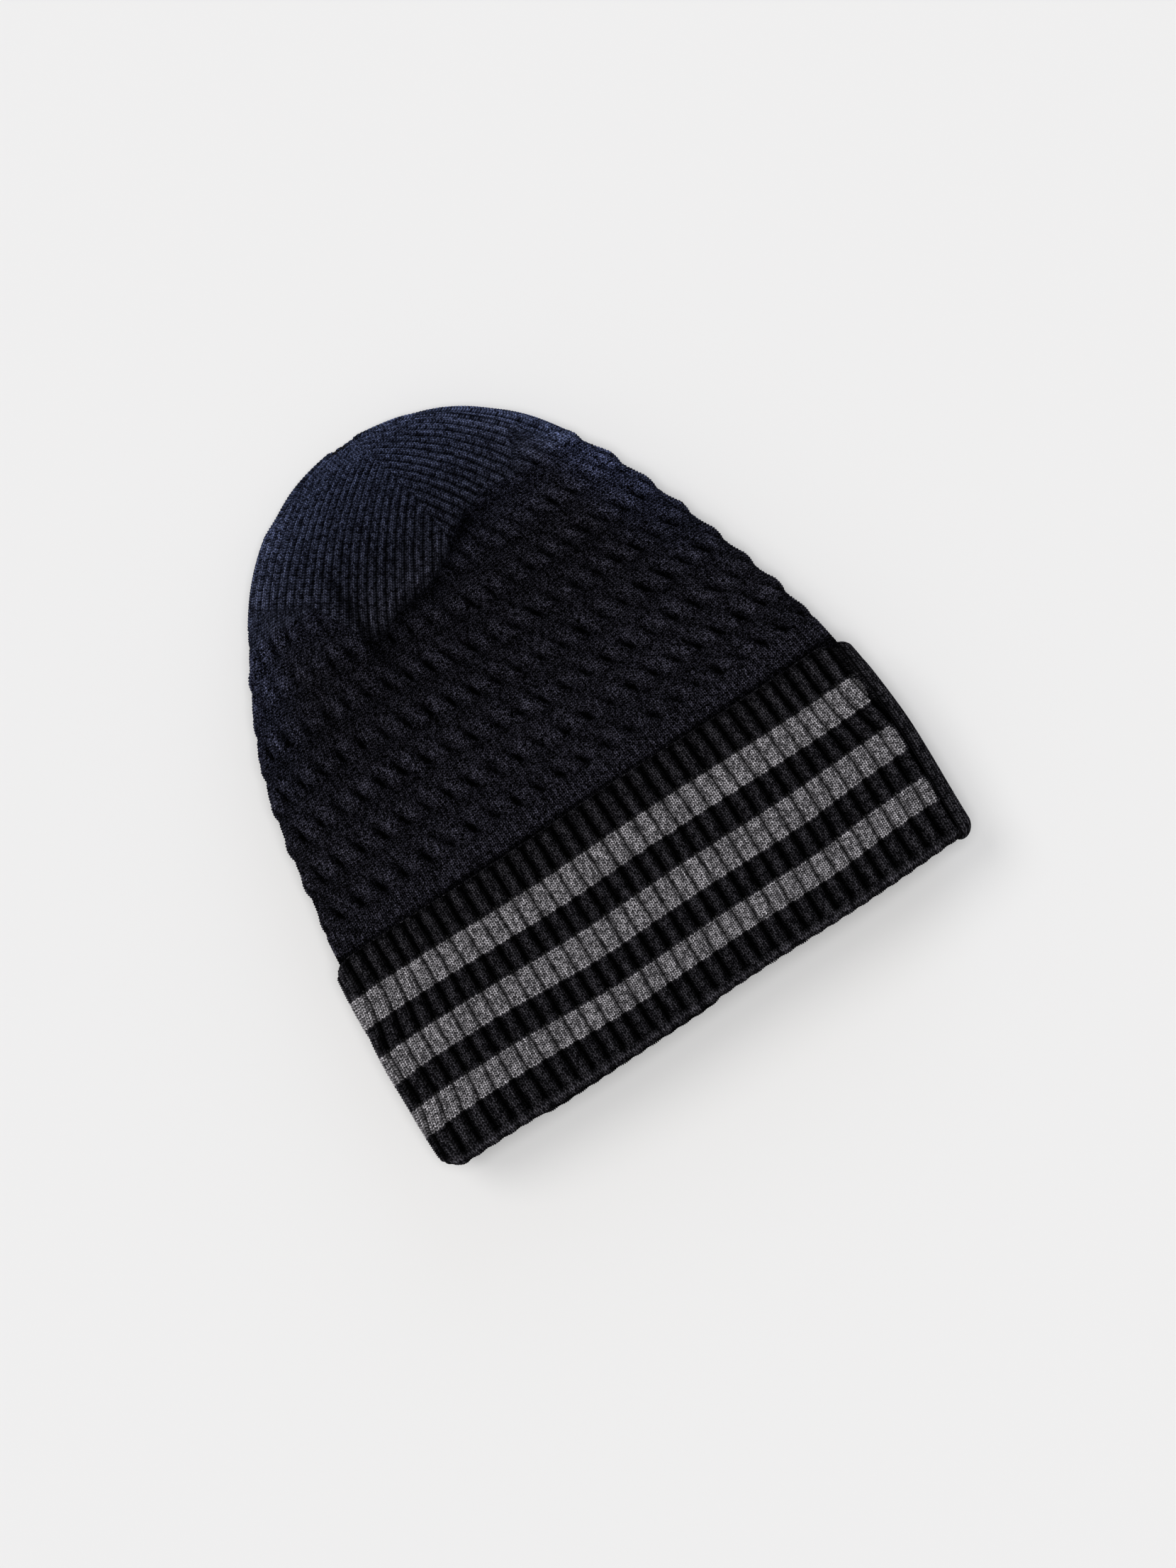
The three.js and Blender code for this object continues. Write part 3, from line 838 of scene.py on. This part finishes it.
def make_cuff():
    """The cuff's rows, from the fold up to the edge."""
    low, middle, upper = (STRIPES[name] for name in ("lower", "middle", "upper"))
    chain = CUFF_HEIGHT - EDGE_CHAIN_HEIGHT
    cuff_band("cuff_fold_band", 0.0, cuff_run(low[0]), CUFF_YARN)
    cuff_band("cuff_stripe_lower", cuff_run(low[0]), cuff_run(low[1]), STRIPE_YARN)
    cuff_band("cuff_band_lower", cuff_run(low[1]), cuff_run(middle[0]), CUFF_YARN)
    cuff_band("cuff_stripe_middle", cuff_run(middle[0]), cuff_run(middle[1]), STRIPE_YARN)
    cuff_band("cuff_band_upper", cuff_run(middle[1]), cuff_run(upper[0]), CUFF_YARN)
    cuff_band("cuff_stripe_upper", cuff_run(upper[0]), cuff_run(upper[1]), STRIPE_YARN)
    cuff_band("cuff_band_top", cuff_run(upper[1]), cuff_run(chain), CUFF_YARN)
    cuff_band("cuff_edge_chain", cuff_run(chain), cuff_run(CUFF_HEIGHT), CUFF_YARN)


LEAST_MOVE = 0.5                   # knit moved less than this keeps its pattern as it was made
FRONT = (0.02, 0.48)               # the front, in girth
PERIMETER_HEIGHTS = np.linspace(60, HEIGHT - THICKNESS / 2 - 0.01, 240)
PERIMETERS = rings(PERIMETER_HEIGHTS)[2][:, -1]


PAINTED_LIGHT_BY_HEIGHT = (        # painted light and shade: how much lighter or darker the front's yarn is painted at each height
    (95, 0.98), (113, 1.14), (126, 1.06), (139, 1.00), (152, 0.90), (165, 0.94), (178, 0.94),
    (191, 0.78), (204, 0.92), (217, 1.12), (230, 1.25), (HEIGHT, 1.3),
)
PAINTED_LIGHT_BESIDE_POCKET = 1.12                 # and the painted light beside the pocket
PAINTED_RIM_START = 0.66                   # where the painted rim light of the sides starts, as a share of the width
PAINTED_RIM_SHARES = (0.6, 1.0)            # how much painted rim light there is on the left and on the right
PAINTED_RIM_LIGHT = 0.62                   # how much lighter the painted rim light makes the yarn


def painted_rim_light_of_sides(x, height):
    """How much painted rim light, a painted sheen, the yarn gets near the sides, where the surface turns
    away from the light.
    """
    half_width = rounded(HALF_WIDTHS, np.minimum(height, HEIGHT - THICKNESS))
    edge = np.abs(x - curve_through(LEAN, height) - SIDEWAYS) / half_width
    share = np.where(x > 0, PAINTED_RIM_SHARES[1], PAINTED_RIM_SHARES[0])
    return share * smoothstep(PAINTED_RIM_START, 0.98, edge) * smoothstep(115, 190, height)


def body_relief(points, made_at, runs, girths):
    """The body's pattern where the knit lies, so that the pocket doesn't slant its ribs. It adds painted
    shade under the pocket's lip, in its crease and just above the cuff's edge, a painted highlight on
    the lip, painted light and shade up the front, and a painted rim light at the sides.
    """
    lengths = round_lengths(runs)[:, None]
    here = np.interp(points[..., 1], PERIMETER_HEIGHTS, PERIMETERS)
    moved = np.abs(points[..., 1] - made_at) > LEAST_MOVE
    front = moved & (girths > FRONT[0]) & (girths < FRONT[1])
    lying = np.where(front, 0.25 + (girths - 0.25) * lengths / here, girths)
    perimeter = np.where(front, here, lengths)
    relief, painted_shading, stitch = body_pattern(points[..., 0], points[..., 1], made_at, lying, perimeter)
    x, height = points[..., 0], points[..., 1]
    # Painted shadow on the body just above the cuff's edge.
    painted_shadow_above_cuff = 1 - smoothstep(CUFF_HEIGHT + 0.5, CUFF_HEIGHT + 3.0, height)
    over, within, upright, from_crease = pocket_place(x, height)
    # Painted shadow under the pocket's lip, painted shade in its crease and a painted highlight on the
    # lip.
    painted_shadow_under_lip = within * bell(over + 1.8, 2.6)
    painted_highlight_on_lip = within * bell(over - 4.5, 3.5)
    painted_shade_in_crease = upright * bell(from_crease, 2.4)
    shade = (1 - 0.5 * painted_shadow_under_lip) * (1 - 0.5 * painted_shade_in_crease) * (1 + 0.2 * painted_highlight_on_lip)
    # Painted light and shade up the front, a little lighter beside the pocket.
    painted_light_here = curve_through(PAINTED_LIGHT_BY_HEIGHT, np.clip(height, PAINTED_LIGHT_BY_HEIGHT[0][0], HEIGHT))
    beside = smoothstep(20, 45, np.abs(x)) * smoothstep(165, 182, height)
    painted_light_here = painted_light_here + (np.maximum(painted_light_here, PAINTED_LIGHT_BESIDE_POCKET) - painted_light_here) * beside
    # Painted rim light towards the sides: the yarn made lighter there, and the mask kept as an attribute.
    fuzz = painted_rim_light_of_sides(x, height)
    painted_shading = painted_shading * (1 + (shade * painted_light_here - 1) * frontness(girths)) * (1 - 0.75 * painted_shadow_above_cuff)
    return relief, painted_shading * (1 + PAINTED_RIM_LIGHT * fuzz), stitch, fuzz


def make_body():
    """The cables, the plain courses below them and the band under the cuff."""
    girths = all_round(CABLES * CABLE_WALES * 5)
    bands = (
        ("cable_body", CROWN_BOTTOM, CABLE_BOTTOM, CABLE_STEP, "charcoal_cable_knit", BODY_YARN),
        ("plain_band", CABLE_BOTTOM, BAND_TOP, BAND_STEP, "charcoal_cuff_rib", BODY_YARN),
    )
    for node, top, bottom, step, slot, material in bands:
        runs = spread(body_run(top), body_run(bottom), step)
        piece = make_shell(f"{node}_knit", runs, girths, True, False, body_relief)
        declare_sheet(runs, 1.0)
        finish_piece(piece, node, material)
    girths = all_round(CUFF_RIBS * RIB_WALES * 3)
    runs = spread(body_run(BAND_TOP), 0.0, INNER_STEP)
    piece = make_shell("inner_band_knit", runs, girths, True, True, inner_relief)
    declare_sheet(runs, 1.0, RIB_PULL)
    finish_piece(piece, "inner_band", SEAM_YARN)


def hole_height():
    """The height at which the crown has narrowed to its hole."""
    (height, half_width), (tip, _) = HALF_WIDTHS[-2:]
    return tip - CROWN_HOLE_HALF_WIDTH ** 2 * (tip - height) / half_width ** 2


def make_crown():
    """The four gores, with rows closer together towards the hole."""
    names = ("front_right", "front_left", "back_left", "back_right")
    top = hole_height()
    share = np.sin(np.linspace(0, 1, CROWN_ROWS + 1) * np.pi / 2)
    runs = body_run(CROWN_BOTTOM + (top - CROWN_BOTTOM) * share)[::-1]
    for k, name in enumerate(names):
        start = DECREASE_LINES[k]
        end = DECREASE_LINES[k + 1] if k + 1 < len(names) else 1 + DECREASE_LINES[0]
        columns = COARSER * round((end - start) * CROWN_COLUMNS / COARSER)
        girths = np.linspace(start, end, columns + 1)
        piece = make_shell(f"crown_gore_{name}_knit", runs, girths, False, False, body_relief)
        declare_sheet(runs, end - start, RIB_PULL)
        finish_piece(piece, f"crown_gore_{name}", CROWN_YARN)


def make_seam():
    """The seam's turned allowance: a roll of three chains on the sheet's inner face."""
    across = 24
    share = np.linspace(-1, 1, across + 1)
    girths = SEAM_GIRTH + share * SEAM_HALF_GIRTH * 1.25
    runs = spread(body_run(CROWN_BOTTOM - SEAM_SHORT), cuff_run(CUFF_HEIGHT), SEAM_STEP)
    girths = np.broadcast_to(girths, (len(runs), across + 1))
    points = on_sheet(runs, girths)
    normals = sheet_normals(runs, girths)
    is_cuff = (runs > 0)[:, None]
    points[..., 1] = np.where(is_cuff, settle(points, girths, 0.0), settle(points, girths, 1.0))
    roll = np.sqrt(np.maximum(1 - share ** 2, 0))[None, :]
    wales = np.broadcast_to(share[None, :] * 1.5 + 0.5, girths.shape)
    loops, phase = knit_stitches(wales, np.broadcast_to(runs[:, None] / CUFF_COURSE, girths.shape))
    rise = 0.1 + 0.8 * SEAM_THICKNESS * roll * (0.86 + 0.14 * loops)
    visible = points - normals * (THICKNESS / 2 + rise)[..., None]
    hidden = (points - normals * (THICKNESS / 2 - SEAM_SUNK))[::COARSER, ::COARSER]
    corners, sizes, smooth_count = shell_faces(*girths.shape, False, True)
    every = np.concatenate([visible.reshape(-1, 3), hidden.reshape(-1, 3)])
    hidden_count = hidden.shape[0] * hidden.shape[1]
    # Painted shade: darker towards the roll's sides and between its loops.
    painted_shading = (0.3 + 0.5 * roll) * (0.35 + 0.65 * loops)
    stitch = np.stack([
        np.concatenate([part.ravel(), np.zeros(hidden_count)]) for part in (2 * wales, phase)
    ] + [np.zeros(len(every))], axis=1)
    attributes = {
        "stitch": stitch,
        "painted_shading": np.concatenate([painted_shading.ravel(), np.full(hidden_count, 0.5)]),
    }
    piece = make_mesh("side_seam_knit", every, corners, sizes, smooth_count, attributes)
    finish_piece(piece, "side_seam", SEAM_YARN)


def make_knot():
    """The drawn thread's knot: two plies laid round each other, with their ends tucked in."""
    low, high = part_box("crown_closing_thread")
    middle, half = (low + high) * 500, (high - low) * 500
    steps, sides, plies = 64, 12, 2
    along = np.linspace(0, 1, steps + 1)[:, None]
    around = np.arange(sides)[None, :] / sides * 2 * np.pi
    every, corners = [], []
    for ply in range(plies):
        twist = 2 * np.pi * (KNOT_TURNS * along + ply / plies)
        taper = np.sqrt(np.maximum(1 - (2 * along - 1) ** 4, 0.02))
        radius = half.z * 0.52 * taper
        x = middle.x + (2 * along - 1) * (half.x - half.z * 0.6) + 0 * around
        y = middle.y + half.y * 0.5 * np.cos(twist) * taper + radius * np.cos(around)
        z = middle.z + half.z * 0.46 * np.sin(twist) * taper + radius * np.sin(around)
        first = len(every) * (steps + 1) * sides
        every.append(np.stack([x, y, z], axis=2).reshape(-1, 3))
        grid = first + np.arange((steps + 1) * sides).reshape(steps + 1, sides)
        grid = np.concatenate([grid, grid[:, :1]], axis=1)
        corners.append(np.stack([
            part.ravel() for part in (grid[:-1, :-1], grid[:-1, 1:], grid[1:, 1:], grid[1:, :-1])
        ], axis=1))
    points, quads = np.concatenate(every), np.concatenate(corners)
    caps = [
        ply * (steps + 1) * sides + np.arange(sides) + end * steps * sides
        for ply in range(plies) for end in (0, 1)
    ]
    caps = np.stack([cap[::-1] if k % 2 == 0 else cap for k, cap in enumerate(caps)])
    turned = np.tile(np.repeat(along[:, 0] * 40, sides), plies)
    attributes = {
        "stitch": np.stack([turned, turned * 0.5, 0 * turned], axis=1),
        "painted_shading": np.full(len(points), 0.5),
    }
    sizes = np.concatenate([np.full(len(quads), 4), np.full(len(caps), sides)])
    ends = np.concatenate([quads[:, ::-1].ravel(), caps[:, ::-1].ravel()])
    piece = make_mesh("crown_closing_thread_knot", points - PLACE, ends, sizes, len(quads), attributes)
    finish_piece(piece, "crown_closing_thread", SEAM_YARN)


make_cuff()
make_body()
make_crown()
make_seam()
make_knot()


# ---------------------------------------------------------------- stage

LOOKED_AT = (0.0044, -0.0297)      # the point of the floor below the camera, in metres
SLANT = -33.4                      # how the camera is turned, in degrees
FLOOR_HALF = 4.0
FLOOR_GAP = 0.0002
FLOOR_COLOUR = (0.862, 0.857, 0.854, 1)


def make_floor():
    mesh = bpy.data.meshes.new("floor")
    half = FLOOR_HALF
    corners = [(-half, -half, 0), (half, -half, 0), (half, half, 0), (-half, half, 0)]
    mesh.from_pydata(corners, [], [(0, 1, 2, 3)])
    floor = bpy.data.objects.new("floor", mesh)
    bpy.context.scene.collection.objects.link(floor)
    floor.location.z = cad_low.z - FLOOR_GAP
    wiring = Wiring("floor")
    wiring.shader.inputs["Base Color"].default_value = FLOOR_COLOUR
    wiring.shader.inputs["Roughness"].default_value = 0.9
    wiring.shader.inputs["Specular IOR Level"].default_value = 0.1
    mesh.materials.append(wiring.material)


def make_sun(name, direction, spread, strength, colour):
    """Soft light that is equally strong everywhere, shining along direction."""
    sun = bpy.data.lights.new(name, "SUN")
    sun.energy = strength
    sun.angle = math.radians(spread)
    sun.color = colour
    holder = bpy.data.objects.new(name, sun)
    bpy.context.scene.collection.objects.link(holder)
    holder.rotation_euler = Vector(direction).to_track_quat("-Z", "Y").to_euler()


def make_lights():
    world = bpy.data.worlds.new("studio")
    bpy.context.scene.world = world
    world.use_nodes = True
    background = world.node_tree.nodes["Background"]
    background.inputs["Color"].default_value = (1.0, 1.0, 1.0, 1)
    background.inputs["Strength"].default_value = 0.22
    make_sun("overhead", (0, 0, -1), 30, 1.82, (1.0, 1.0, 1.0))
    make_sun("key", (0.45, -0.75, -1.1), 30, 0.75, (1.0, 0.99, 0.98))
    make_sun("crown_fill", (-0.8, -0.9, -0.35), 40, 0.35, (0.70, 0.82, 1.0))


def make_camera():
    """Straight above, turned so that the hat lies at the photograph's slant."""
    camera = bpy.data.objects.new("camera", bpy.data.cameras.new("camera"))
    bpy.context.scene.collection.objects.link(camera)
    bpy.context.scene.camera = camera
    distance, level, frame_height = 1.3, 0.020, 0.553
    camera.data.sensor_width = 36.0
    camera.data.lens = camera.data.sensor_width * distance / frame_height
    camera.location = (*LOOKED_AT, level + distance)
    camera.rotation_euler = (0, 0, math.radians(SLANT))


make_floor()
make_lights()
make_camera()
bpy.context.scene.view_settings.view_transform = "Standard"

bpy.context.view_layer.update()
